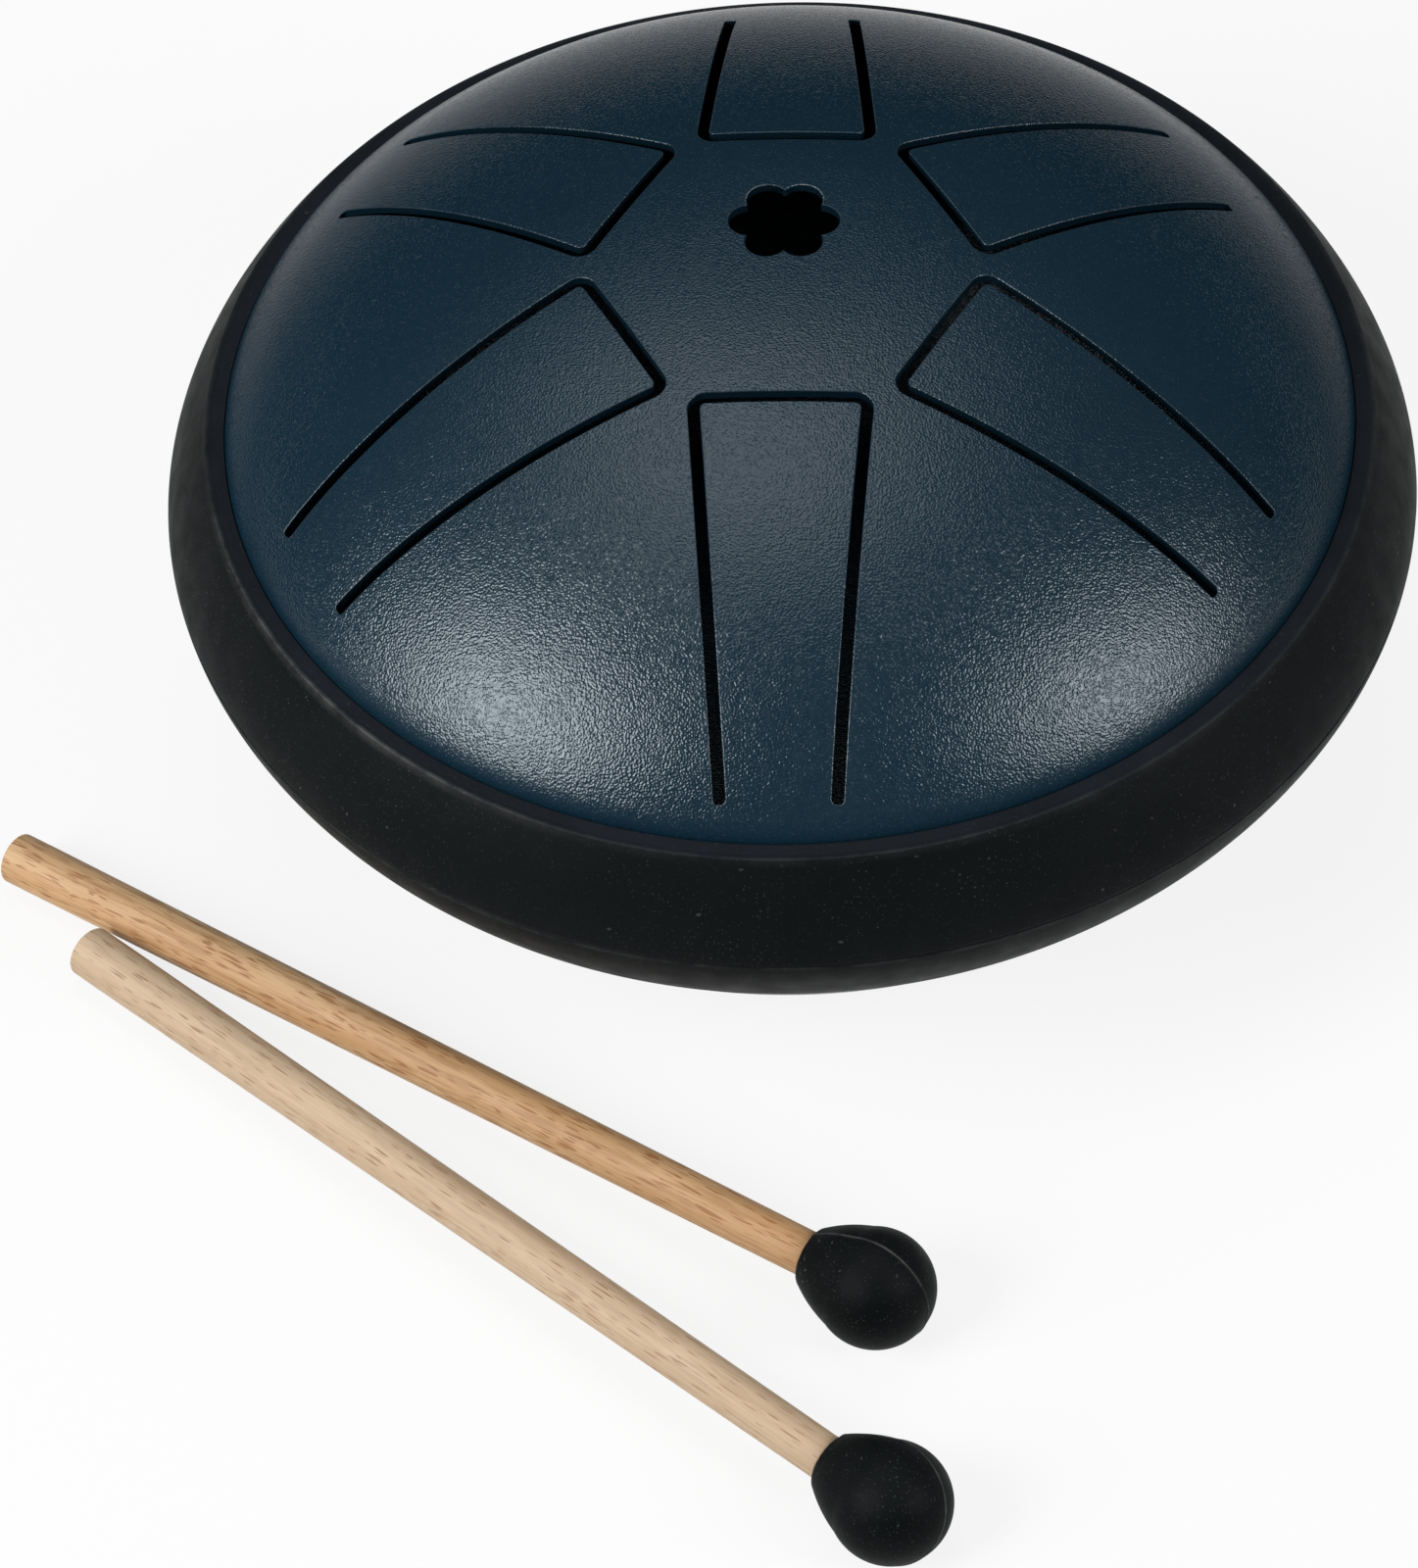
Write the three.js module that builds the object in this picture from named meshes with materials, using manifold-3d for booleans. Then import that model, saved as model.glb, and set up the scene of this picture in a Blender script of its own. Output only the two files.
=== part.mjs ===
// A small steel tongue drum with a rubber rim ring, and the two mallets that lie in front of it.
// Millimetres, +Z up. The origin is the middle of the bottom shell's flat underside, the drum's axis
// is the Z axis, and the longest tongue points to -Y. The feet and the mallets stand at z = -FOOT_HEIGHT.
import * as THREE from "three";
import { mergeVertices } from "three/addons/utils/BufferGeometryUtils.js";
import Module from "manifold-3d";

const wasm = await Module();
wasm.setup();

// Steel body
const SHEET = 1.2; // wall of both shells
const FLANGE_RADIUS = 70; // where the two shells meet, 140 mm across
const FLANGE_WIDTH = 2; // from the foot of the wall to the flange's edge
const LIP_SETBACK = 3; // from the flange's edge in to where each shell comes out of the rim ring
const LIP_HEIGHT = 12.3; // from the joint of the shells to where each comes out of the ring
const JOINT_HEIGHT = 36; // from the underside to the joint of the shells
const DOME_RISE = 25; // from the ring's lip to the crown
const CROWN_EXPONENT = 2.35; // how flat the curve starts, at the crown or the base
const SHOULDER_EXPONENT = 1.3; // how steep the curve ends, at the ring
const BASE_RADIUS = 34; // flat part of the underside
const LIP_RADIUS = FLANGE_RADIUS - LIP_SETBACK;

// Tongues, counted anticlockwise from the front one as seen from above
const TONGUE_TIP = 22; // from the drum's axis to a tongue's free end
const TONGUE_TAPER = THREE.MathUtils.degToRad(4); // each side closes in by this towards the root
const TONGUE_CORNER = 0.7; // rounding of the free end's corners
const ROOT_SETBACKS = [2.7, 6.1, 10.2, 15.2, 8.7, 4.4]; // from the ring's lip in to each root
const SLOT_WIDTH = 1.25;
const SLOT_WEB = 2.95; // steel left between the inner corners of neighbouring slots
const ROOT_GAP = 0.3; // hairline that lets a tongue swing about its root

// Sound hole, a rosette of round lobes
const HOLE_OFFSET = 5.9; // from the drum's axis, away from the front tongue
const HOLE_SPAN = 13; // across opposite lobes
const HOLE_LOBES = 6;
const LOBE_DEPTH = 1.55; // how far a lobe reaches past the points between the lobes

// Rim ring
const RING_COVER = 5; // from the flange's edge out to the ring's widest line, 150 mm across
const RING_LIP = 2.4; // width of the flat lip against the steel
const BAND_EXPONENT = 1.65; // how the outer band bulges between the ridges
const RING_CLEARANCE = 0.3; // between the ring and the steel
const RING_RADIUS = FLANGE_RADIUS + RING_COVER;

// Feet
const FOOT_COUNT = 3;
const FOOT_RADIUS = 6;
const FOOT_HEIGHT = 3;
const FOOT_ROUNDING = 0.8;
const FOOT_INSET = 8; // from the edge of the flat underside in to a foot's middle
const PAD_RADIUS = BASE_RADIUS - FOOT_INSET - FOOT_RADIUS - FOOT_ROUNDING; // free middle of the underside

// Mallets
const STICK_LENGTHS = [116, 117.6]; // from each butt to its head
const BUTT_RADIUS = 3.2;
const NECK_RADIUS = 2.7; // of the stick where it meets the head
const BUTT_CHAMFER = 0.4;
const TENON_STEP = 0.6; // how much thinner the stick is inside the head
const TENON_LENGTH = 9;
const HEAD_RADIUS = 7.1;
const HEAD_LEAD = 1.8; // how much further the neck is from the round end's middle than its radius
const HEAD_STEP = 1.3; // how far the rounded mouth of the head stands out from the stick
const HEAD_SWELL = 0.23; // how far the flank swells past a straight cone
const HEAD_CLEARANCE = 0.3; // between the stick's end and the head
const MALLET_OFFSET = 1.25; // in plan, from the ring's edge to the first stick's middle line
const MALLET_LEAD = 64.7; // along the first stick, from its butt to the point nearest the drum
const MALLET_STAGGER = 16.3; // along the first stick, from its butt to the second stick's butt
const MALLET_GAP = 0.4; // between the second stick's butt and the first stick
const MALLET_HEADINGS = [-32.1, -39.6].map(THREE.MathUtils.degToRad);
const HEAD_CENTRE = HEAD_RADIUS + HEAD_LEAD;

// Facets
const BODY_SEGMENTS = 60;
const CURVE_STEPS = 9;
const BAND_STEPS = 5;
const SMALL_SEGMENTS = 24;
const CORNER_STEPS = 4;

const steel = new THREE.MeshStandardMaterial({ color: 0x1c3347, roughness: 0.42, metalness: 0.35 });
const ringRubber = new THREE.MeshStandardMaterial({ color: 0x14181a, roughness: 0.75, metalness: 0 });
const footRubber = new THREE.MeshStandardMaterial({ color: 0x101213, roughness: 0.8, metalness: 0 });
const headRubber = new THREE.MeshStandardMaterial({ color: 0x0c0e0f, roughness: 0.8, metalness: 0 });
const beech = new THREE.MeshStandardMaterial({ color: 0xd9b183, roughness: 0.6, metalness: 0 });

// A closed geometry as a solid that can be cut and joined.
function solidOf(geometry) {
  const bare = geometry.index ? geometry.toNonIndexed() : geometry.clone();
  bare.deleteAttribute("normal");
  bare.deleteAttribute("uv");
  const merged = mergeVertices(bare, 1e-4);
  const mesh = new wasm.Mesh({
    numProp: 3,
    vertProperties: merged.attributes.position.array,
    triVerts: new Uint32Array(merged.index.array),
  });
  return new wasm.Manifold(mesh);
}

function geometryOf(solid) {
  const mesh = solid.getMesh();
  const geometry = new THREE.BufferGeometry();
  geometry.setAttribute("position", new THREE.BufferAttribute(mesh.vertProperties, 3));
  geometry.setIndex(new THREE.BufferAttribute(mesh.triVerts, 1));
  const flat = geometry.toNonIndexed();
  flat.computeVertexNormals();
  return flat;
}

// Turns a profile of [radius, height] points about the Z axis.
function turned(profile, segments) {
  const points = profile.map(([radius, height]) => new THREE.Vector2(radius, height));
  return new THREE.LatheGeometry(points, segments).rotateX(Math.PI / 2);
}

function named(name, geometry, material) {
  const mesh = new THREE.Mesh(geometry, material);
  mesh.name = name;
  return mesh;
}

// Height of a pressed curve above its rim: flat out to flatRadius, then falling ever steeper.
function curveHeight(radius, rimRadius, flatRadius, rise) {
  const share = Math.max(radius - flatRadius, 0) / (rimRadius - flatRadius);
  return rise * (1 - share ** CROWN_EXPONENT) ** (1 / SHOULDER_EXPONENT);
}

// The curve from its middle out to its rim, with closer steps where it is steeper.
function curvePoints(rimRadius, flatRadius, rise) {
  const points = [];
  if (flatRadius > 0) points.push([0, rise], [PAD_RADIUS, rise]);
  for (let step = 0; step <= CURVE_STEPS; step += 1) {
    const share = Math.sin((step / CURVE_STEPS) * (Math.PI / 2));
    const radius = flatRadius + share * (rimRadius - flatRadius);
    points.push([radius, curveHeight(radius, rimRadius, flatRadius, rise)]);
  }
  return points;
}

// Profile of one shell with its joint at height 0 and its closed side up.
function shellProfile(flatRadius, rise) {
  const wallFoot = FLANGE_RADIUS - FLANGE_WIDTH;
  const lift = ([radius, height]) => [radius, height + LIP_HEIGHT];
  const outside = curvePoints(LIP_RADIUS, flatRadius, rise).map(lift);
  const inside = curvePoints(LIP_RADIUS - SHEET, flatRadius, rise - SHEET).map(lift);
  const flange = [
    [wallFoot, SHEET],
    [FLANGE_RADIUS, SHEET],
    [FLANGE_RADIUS, 0],
    [wallFoot - SHEET, 0],
  ];
  return [...outside, ...flange, ...inside.reverse()].reverse();
}

// Outline in plan of one tongue, or with the slot's width added that of its slot, its root towards +X.
// The slots' inner corners set the width: they leave SLOT_WEB on the line between two tongues.
function tongueOutline(root, grow) {
  const tip = TONGUE_TIP - grow;
  const corner = TONGUE_CORNER + grow;
  const halfPitch = Math.PI / ROOT_SETBACKS.length;
  const slotTip = TONGUE_TIP - SLOT_WIDTH;
  const slotHalf = (slotTip * Math.sin(halfPitch) - SLOT_WEB / 2) / Math.cos(halfPitch);
  const inset = (SLOT_WIDTH - grow) / Math.cos(TONGUE_TAPER);
  const halfWidth = (along) => slotHalf - inset - (along - slotTip) * Math.tan(TONGUE_TAPER);
  const cornerX = tip + corner;
  const cornerY = halfWidth(cornerX) - corner / Math.cos(TONGUE_TAPER);
  const sideAngle = Math.PI / 2 - TONGUE_TAPER;
  const outline = new THREE.Shape();
  outline.moveTo(root, -halfWidth(root));
  outline.lineTo(root, halfWidth(root));
  outline.absarc(cornerX, cornerY, corner, sideAngle, Math.PI, false);
  outline.absarc(cornerX, -cornerY, corner, Math.PI, 2 * Math.PI - sideAngle, false);
  return outline;
}

// A prism through the whole dome from an outline in plan.
function domeCutter(outline, azimuth, curveSegments) {
  const depth = LIP_HEIGHT + DOME_RISE;
  const prism = new THREE.ExtrudeGeometry(outline, { depth, bevelEnabled: false, curveSegments });
  return solidOf(prism.translate(0, 0, JOINT_HEIGHT + SHEET).rotateZ(azimuth));
}

// Round lobes about a common middle, meeting in points.
function rosetteOutline() {
  const step = (2 * Math.PI) / HOLE_LOBES;
  const far = HOLE_SPAN / 2;
  const near = far - LOBE_DEPTH;
  const nearX = near * Math.cos(step / 2);
  const nearY = near * Math.sin(step / 2);
  const reach = (far ** 2 - near ** 2) / (2 * (far - nearX));
  const halfArc = Math.atan2(nearY, nearX - reach);
  const outline = new THREE.Shape();
  for (let lobe = 0; lobe < HOLE_LOBES; lobe += 1) {
    const angle = lobe * step;
    const x = reach * Math.cos(angle);
    const y = reach * Math.sin(angle);
    outline.absarc(x, y, far - reach, angle - halfArc, angle + halfArc, false);
  }
  return outline;
}

function tongueAzimuth(index) {
  return -Math.PI / 2 + (index * 2 * Math.PI) / ROOT_SETBACKS.length;
}

// The dome and the tongues come from one pressed shell, so that they share its curve.
function makeTop() {
  const pressed = turned(shellProfile(0, DOME_RISE), BODY_SEGMENTS).translate(0, 0, JOINT_HEIGHT);
  const whole = solidOf(pressed);
  const hole = domeCutter(rosetteOutline(), 0, CORNER_STEPS).translate([0, HOLE_OFFSET, 0]);
  let dome = whole.subtract(hole);
  const tongues = ROOT_SETBACKS.map((setback, index) => {
    const root = LIP_RADIUS - setback;
    const azimuth = tongueAzimuth(index);
    dome = dome.subtract(domeCutter(tongueOutline(root, SLOT_WIDTH), azimuth, CORNER_STEPS));
    const tongue = whole.intersect(domeCutter(tongueOutline(root - ROOT_GAP, 0), azimuth, CORNER_STEPS));
    return named(`tongue_${index + 1}`, geometryOf(tongue), steel);
  });
  return [named("top_shell", geometryOf(dome), steel), ...tongues];
}

function makeBottom() {
  const profile = shellProfile(BASE_RADIUS, JOINT_HEIGHT - LIP_HEIGHT);
  const shell = turned(profile, BODY_SEGMENTS).rotateX(Math.PI).translate(0, 0, JOINT_HEIGHT);
  return named("bottom_shell", shell, steel);
}

// The ring is alike above and below the joint: a flat lip, a bulging band, and a groove for the flanges.
function makeRing() {
  const wallFoot = FLANGE_RADIUS - FLANGE_WIDTH;
  const bulge = RING_RADIUS - LIP_RADIUS - RING_LIP;
  const half = [
    [FLANGE_RADIUS + RING_CLEARANCE, SHEET + RING_CLEARANCE],
    [wallFoot + RING_CLEARANCE, SHEET + RING_CLEARANCE],
    [LIP_RADIUS + RING_CLEARANCE, LIP_HEIGHT],
  ];
  for (let step = BAND_STEPS; step >= 0; step -= 1) {
    const share = step / BAND_STEPS;
    half.push([RING_RADIUS - bulge * share ** BAND_EXPONENT, LIP_HEIGHT * share]);
  }
  const mirrored = half
    .slice(0, -1)
    .map(([radius, height]) => [radius, -height])
    .reverse();
  const loop = [...half, ...mirrored];
  const profile = [...loop, loop[0]].reverse();
  const ring = turned(profile, BODY_SEGMENTS).translate(0, 0, JOINT_HEIGHT);
  return named("rim_ring", ring, ringRubber);
}

function makeFeet() {
  const profile = [
    [0, -FOOT_HEIGHT],
    [FOOT_RADIUS - FOOT_ROUNDING, -FOOT_HEIGHT],
    [FOOT_RADIUS, FOOT_ROUNDING - FOOT_HEIGHT],
    [FOOT_RADIUS, 0],
    [0, 0],
  ];
  const pitchRadius = BASE_RADIUS - FOOT_INSET;
  return Array.from({ length: FOOT_COUNT }, (unused, index) => {
    const azimuth = -Math.PI / 2 + (index * 2 * Math.PI) / FOOT_COUNT;
    const foot = named(`foot_${index + 1}`, turned(profile, SMALL_SEGMENTS), footRubber);
    foot.position.set(pitchRadius * Math.cos(azimuth), pitchRadius * Math.sin(azimuth), 0);
    return foot;
  });
}

function stickProfile(length) {
  const shoulder = length - HEAD_CLEARANCE;
  const tenon = NECK_RADIUS - TENON_STEP;
  return [
    [0, 0],
    [BUTT_RADIUS - BUTT_CHAMFER, 0],
    [BUTT_RADIUS, BUTT_CHAMFER],
    [NECK_RADIUS, shoulder],
    [tenon, shoulder],
    [tenon, length + TENON_LENGTH],
    [0, length + TENON_LENGTH],
  ];
}

// A rounded mouth, a flank that swells towards a round end, and a blind bore for the stick.
function headProfile(length) {
  const bore = NECK_RADIUS - TENON_STEP + HEAD_CLEARANCE;
  const boreEnd = TENON_LENGTH + HEAD_CLEARANCE;
  const mouth = new THREE.Vector2(NECK_RADIUS, HEAD_STEP);
  const end = new THREE.Vector2(0, HEAD_CENTRE);
  const apart = end.clone().sub(mouth);
  const slope = Math.asin((HEAD_RADIUS - HEAD_STEP) / apart.length()) + Math.atan2(apart.x, apart.y);
  const outward = new THREE.Vector2(Math.cos(slope), -Math.sin(slope));
  const from = mouth.clone().addScaledVector(outward, HEAD_STEP);
  const to = end.clone().addScaledVector(outward, HEAD_RADIUS);
  const profile = [
    [0, boreEnd],
    [bore, boreEnd],
    [bore, 0],
  ];
  for (let step = 0; step < CORNER_STEPS; step += 1) {
    const angle = (step / CORNER_STEPS) * (Math.PI / 2 - slope);
    profile.push([mouth.x + HEAD_STEP * Math.sin(angle), mouth.y - HEAD_STEP * Math.cos(angle)]);
  }
  for (let step = 0; step < CORNER_STEPS; step += 1) {
    const share = step / CORNER_STEPS;
    const point = from.clone().lerp(to, share);
    point.addScaledVector(outward, 4 * HEAD_SWELL * share * (1 - share));
    profile.push([point.x, point.y]);
  }
  for (let step = 0; step <= CURVE_STEPS; step += 1) {
    const angle = (Math.PI / 2 + slope) * (1 - step / CURVE_STEPS);
    profile.push([HEAD_RADIUS * Math.sin(angle), HEAD_CENTRE + HEAD_RADIUS * Math.cos(angle)]);
  }
  return profile.map(([radius, height]) => [radius, height + length]);
}

// Where the sticks' butts lie in plan: the first stick passes the drum, the second starts beside it.
function malletButts() {
  const [heading] = MALLET_HEADINGS;
  const along = new THREE.Vector2(Math.cos(heading), Math.sin(heading));
  const away = new THREE.Vector2(Math.sin(heading), -Math.cos(heading));
  const first = away.clone().multiplyScalar(RING_RADIUS + MALLET_OFFSET);
  first.addScaledVector(along, -MALLET_LEAD);
  const second = first.clone().addScaledVector(along, MALLET_STAGGER);
  second.addScaledVector(away, 2 * BUTT_RADIUS + MALLET_GAP);
  return [first, second];
}

// A mallet lies with its butt and its head on the table.
function makeMallet(name, butt, heading, length) {
  const alongX = (profile) => turned(profile, SMALL_SEGMENTS).rotateY(Math.PI / 2);
  const rise = Math.asin((HEAD_RADIUS - BUTT_RADIUS) / (length + HEAD_CENTRE));
  const mallet = new THREE.Group();
  mallet.add(named(`${name}_stick`, alongX(stickProfile(length)), beech));
  mallet.add(named(`${name}_head`, alongX(headProfile(length)), headRubber));
  mallet.position.set(butt.x, butt.y, BUTT_RADIUS - FOOT_HEIGHT);
  mallet.rotation.set(0, -rise, heading, "ZYX");
  return mallet;
}

const drum = new THREE.Group();
drum.add(...makeTop());
drum.add(makeBottom());
drum.add(makeRing());
drum.add(...makeFeet());
malletButts().forEach((butt, index) => {
  drum.add(makeMallet(`mallet_${index + 1}`, butt, MALLET_HEADINGS[index], STICK_LENGTHS[index]));
});

export default drum;
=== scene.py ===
import math

import bpy
import numpy as np
from mathutils import Matrix, Vector
from mathutils.geometry import delaunay_2d_cdt


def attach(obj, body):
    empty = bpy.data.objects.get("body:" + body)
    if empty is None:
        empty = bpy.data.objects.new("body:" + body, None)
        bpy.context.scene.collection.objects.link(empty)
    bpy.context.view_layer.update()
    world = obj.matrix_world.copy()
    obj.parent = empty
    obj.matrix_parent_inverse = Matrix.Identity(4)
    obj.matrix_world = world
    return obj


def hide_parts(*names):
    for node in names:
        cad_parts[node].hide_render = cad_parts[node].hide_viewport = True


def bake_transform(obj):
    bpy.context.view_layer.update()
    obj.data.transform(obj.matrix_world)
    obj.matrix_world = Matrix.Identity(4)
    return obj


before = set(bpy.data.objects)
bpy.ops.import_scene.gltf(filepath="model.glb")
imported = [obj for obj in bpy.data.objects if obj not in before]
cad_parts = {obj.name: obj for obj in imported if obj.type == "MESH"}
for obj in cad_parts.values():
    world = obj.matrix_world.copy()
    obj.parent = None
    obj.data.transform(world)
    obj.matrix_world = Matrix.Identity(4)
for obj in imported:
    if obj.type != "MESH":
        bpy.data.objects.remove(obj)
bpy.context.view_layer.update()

MM = 0.001

# Shells, with the part's own sizes in millimetres
SHEET = 1.2
FLANGE_RADIUS = 70.0
WALL_FOOT = 68.0
LIP_RADIUS = 67.0
LIP_HEIGHT = 12.3
JOINT_HEIGHT = 36.0
DOME_RISE = 25.0
CROWN_EXPONENT = 2.35
SHOULDER_EXPONENT = 1.3
BASE_RADIUS = 34.0

# Tongues and slots, the roots in the order of the tongues' numbers
ROOTS = [64.3, 60.9, 56.8, 51.8, 58.3, 62.6]
TONGUES = len(ROOTS)
TONGUE_CORNER = 0.7
SLOT_END = 0.45

# The slots as measured again in the photograph, within half a millimetre of the source's
TONGUE_TIP = 21.68
TONGUE_TAPER = math.radians(4.5)
SLOT_WIDTH = 1.37
SLOT_WEB = 1.74

# Sound hole
HOLE_OFFSET = 5.9
HOLE_SPAN = 13.0
HOLE_LOBES = 6
LOBE_DEPTH = 1.55

# Rounded edges of the slots and the hole, with bends in radians from the top face. Near the first bend the
# paint is pale, partly rubbed paint and partly a painted glint; past the wall's bend the wall is marked for
# painted shade.
EDGE_ROUND = 0.16
RUBBED_GLINT_BEND = 0.6
RUBBED_GLINT_SPREAD = 0.35
WALL_BEND = 1.2
WALL_SHADE_MARK = -1.0
EDGE_ROWS = 11

# Rim ring
RING_RADIUS = 75.0
RIDGE_RADIUS = 69.4
BAND_EXPONENT = 1.65
RING_CLEARANCE = 0.3
GROOVE_ROUND = 0.2
LIP_GAP = 0.06
LIP_DROP = 0.1
LIP_ROUND = 0.12
BEAD_WIDTH = 0.75
BEAD_DIP = 0.13
BEAD_ROUND = 1.2
RIDGE_INSET = 0.05
RIDGE_ROUND = 0.28

# The ring's band, in shares of the lip's height, and the (depth, height) points of its mould line's groove
BAND_TOP = 0.93
BAND_SEAM = 0.035
BAND_ROWS = 26
SEAM_GROOVE = [(0.03, 0.3), (0.08, 0.16), (0.3, 0.05)]

# Where the ring is pale: its crest, partly worn rubber and partly a painted highlight, strongest within an
# arc in degrees on the side of the left softbox, and a painted highlight just below its mould line
CREST_INSET = 0.1
CREST_DROP = 0.02
CREST_WIDTH = 0.2
CREST_LEAST = 0.2
CREST_HIGHLIGHT_AZIMUTH = 220
CREST_HIGHLIGHT_ARC = 24
SEAM_DROP = 0.34
SEAM_WIDTH = 0.12
SEAM_SHARE = 0.35

# Feet
FOOT_RADIUS = 6.0
FOOT_HEIGHT = 3.0
FOOT_PITCH = 26.0
FEET = 3
DISH_DEPTH = 0.35
DISH_RADIUS = 2.6
DISH_ROUND = 0.6
LAND_RADIUS = 3.4
LAND_ROUND = 0.5
FOOT_DRAFT = 0.2
FOOT_ROUND = 0.8
FOOT_BAND = 0.5
FOOT_BAND_ROUND = 0.3

# Mallets
STICK_LENGTHS = [116.0, 117.6]
BUTT_RADIUS = 3.2
BUTT_ROUND = 0.42
BUTT_INSET = 0.02
BUTT_START = 0.06
NECK_RADIUS = 2.7
TENON_RADIUS = 2.1
TENON_LENGTH = 9.0
HEAD_RADIUS = 7.1
HEAD_CENTRE = 8.9
HEAD_STEP = 1.3
HEAD_SWELL = 0.23
HEAD_CLEARANCE = 0.3
HEAD_INSET = 0.02
MOUTH_DEPTH = 0.3
MOUTH_CHAMFER = 0.12
MOUTH_START = 0.06
MALLET_OFFSET = 1.25
MALLET_LEAD = 64.7
MALLET_STAGGER = 16.3
MALLET_GAP = 0.4
MALLET_HEADINGS = [math.radians(-32.1), math.radians(-39.6)]
MOULD_LINES = [math.radians(80), math.radians(51)]
MOULD_RISE = 0.075
MOULD_WIDTH = 0.13

# Fineness of the meshes: steps round the axis, and spacing in millimetres
RIM_STEPS = 360
BOWL_STEPS = 240
FOOT_STEPS = 64
STICK_STEPS = 72
HEAD_STEPS = 96
FLOOR_STEPS = 96
SLOT_PITCH = 1.1
ROOT_PITCH = 1.2
DOME_PITCH = 1.8
EDGE_CLEAR = 0.8
STICK_ROWS = 30
MOUTH_ROWS = 9
SIDE_ROWS = 14
BALL_ROWS = 40
TINY = 1e-9

# Radii of the dome's mesh rows, where even rows begin and end, and where the underside starts to draw in
RIM_ROWS = [66.985, 66.94, 66.86, 66.74, 66.56, 66.3, 65.95, 65.5, 64.9, 64.15, 63.2]
SHOULDER_ROWS = [62.0, 60.5, 58.8]
CROWN_START = 57.0
CROWN_END = 1.0
UNDERSIDE_START = 65.0

# Mesh rows beside a head's mould line, in degrees from it
LINE_ROWS = [0, 0.3, 0.6, 1.0, 1.5, 2.2, 3.0]

# Colours, as linear red, green and blue
PAINT_DARK = (0.0039, 0.0156, 0.0266)
PAINT_LIGHT = (0.0047, 0.0182, 0.0303)
PAINT_FINE = (0.0085, 0.0245, 0.0420)
PAINT_FLAKE = (0.014, 0.032, 0.050)
# Painted shade for the walls of the slots and the hole
PAINT_WALL_SHADE = (0.0008, 0.0028, 0.0040)
# Pale rubbed paint for the slots' edges, partly a painted glint
PAINT_RUBBED_GLINT = (0.028, 0.044, 0.056)
PAINT_GLOSS_TINT = (0.86, 0.95, 1.0)
DUST_HAZE = (0.0165, 0.0190, 0.0200)
DUST_GRIT = (0.034, 0.037, 0.037)
DUST_LINT = (0.048, 0.050, 0.049)
# Pale rubber for the ring's crest and seam lines and the heads' mould lines: partly wear and dust, partly
# painted highlight
PALE_RUBBER_AND_HIGHLIGHT = (0.070, 0.073, 0.072)
FLOOR_GREY = (0.72, 0.72, 0.72)
WORLD_COLOUR = (0.95, 0.98, 1.0)

# The paint's gloss as an index of refraction: from above, at a slant, and at the rim, where it fades
GLOSS_ABOVE = 1.55
GLOSS_SLANT = 1.11
GLOSS_RIM = 1.12
GLOSS_FADE = (65.6, 66.8)

# Floor and world
FLOOR_RADII = [0, 150, 600, 2500, 9000]
FLOOR_GAP = 0.02
FLOOR_WHITENESS = 0.84
WORLD_STRENGTH = 0.07

# The lamps aim at this point, in metres
LAMP_TARGET = (0, 0, 0.05)

# The camera as fitted to the photograph, in metres and degrees, its lens and sensor in millimetres
CAMERA_PLACE = (0.018642, -0.471256, 0.551315)
CAMERA_TURN = (39.3963, 1.9005, 1.3798)
CAMERA_LENS = 133.0046
CAMERA_SENSOR = 36.0
CAMERA_CLIP = (0.01, 50.0)


# Mesh helpers

def add_piece(name, points, faces, normals=None, matrix=None):
    """A smooth mesh object from points in millimetres, placed by the matrix."""
    points = np.asarray(points) * MM
    if matrix is not None:
        turn = np.array(matrix.to_3x3())
        points = points @ turn.T + np.array(matrix.translation)
        normals = None if normals is None else normals @ turn.T
    mesh = bpy.data.meshes.new(name)
    mesh.from_pydata([tuple(p) for p in points], [], faces)
    mesh.polygons.foreach_set("use_smooth", [True] * len(mesh.polygons))
    mesh.update()
    if normals is not None:
        mesh.normals_split_custom_set_from_vertices([tuple(n) for n in normals])
    piece = bpy.data.objects.new(name, mesh)
    bpy.context.scene.collection.objects.link(piece)
    return piece


def set_values(piece, name, values):
    """A number for each point of the piece, which a material reads by its name."""
    piece.data.attributes.new(name, "FLOAT", "POINT").data.foreach_set("value", values)


def even_angles(count):
    return np.arange(count) * (2 * math.pi / count)


def circle(radius, angles):
    return radius * np.stack([np.cos(angles), np.sin(angles)], 1)


def bell(distance, width):
    """1 in the middle, falling smoothly to 0 over about two widths."""
    return np.exp(-((distance / width) ** 2))


def lathe(profile, angles, closed=False):
    """A profile of (radius, height) turned about Z, rising on its outside.

    Each normal leans to the longer of the two sides that meet there.
    """
    profile = np.asarray(profile, float)
    along = np.diff(np.vstack([profile, profile[:1]]) if closed else profile, axis=0)
    leans = np.stack([along[:, 1], -along[:, 0]], 1)
    sums = np.zeros_like(profile)
    sums[: len(leans)] += leans
    if closed:
        sums += np.roll(leans, 1, axis=0)
    else:
        sums[1:] += leans
    sums /= np.maximum(np.linalg.norm(sums, axis=1, keepdims=True), TINY)
    points, normals, rows, faces = [], [], [], []
    count = len(angles)
    for (radius, height), (out, up) in zip(profile, sums):
        start = len(points)
        if radius < TINY:
            points.append((0.0, 0.0, height))
            normals.append((0.0, 0.0, math.copysign(1, up)))
            rows.append([start] * count)
            continue
        for angle in angles:
            c, s = math.cos(angle), math.sin(angle)
            points.append((radius * c, radius * s, height))
            normals.append((out * c, out * s, up))
        rows.append(list(range(start, start + count)))
    pairs = list(zip(rows, rows[1:]))
    if closed:
        pairs.append((rows[-1], rows[0]))
    for low, high in pairs:
        for i in range(count):
            j = (i + 1) % count
            face = list(dict.fromkeys((low[i], low[j], high[j], high[i])))
            if len(face) > 2:
                faces.append(face)
    return np.array(points), faces, np.array(normals)


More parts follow.
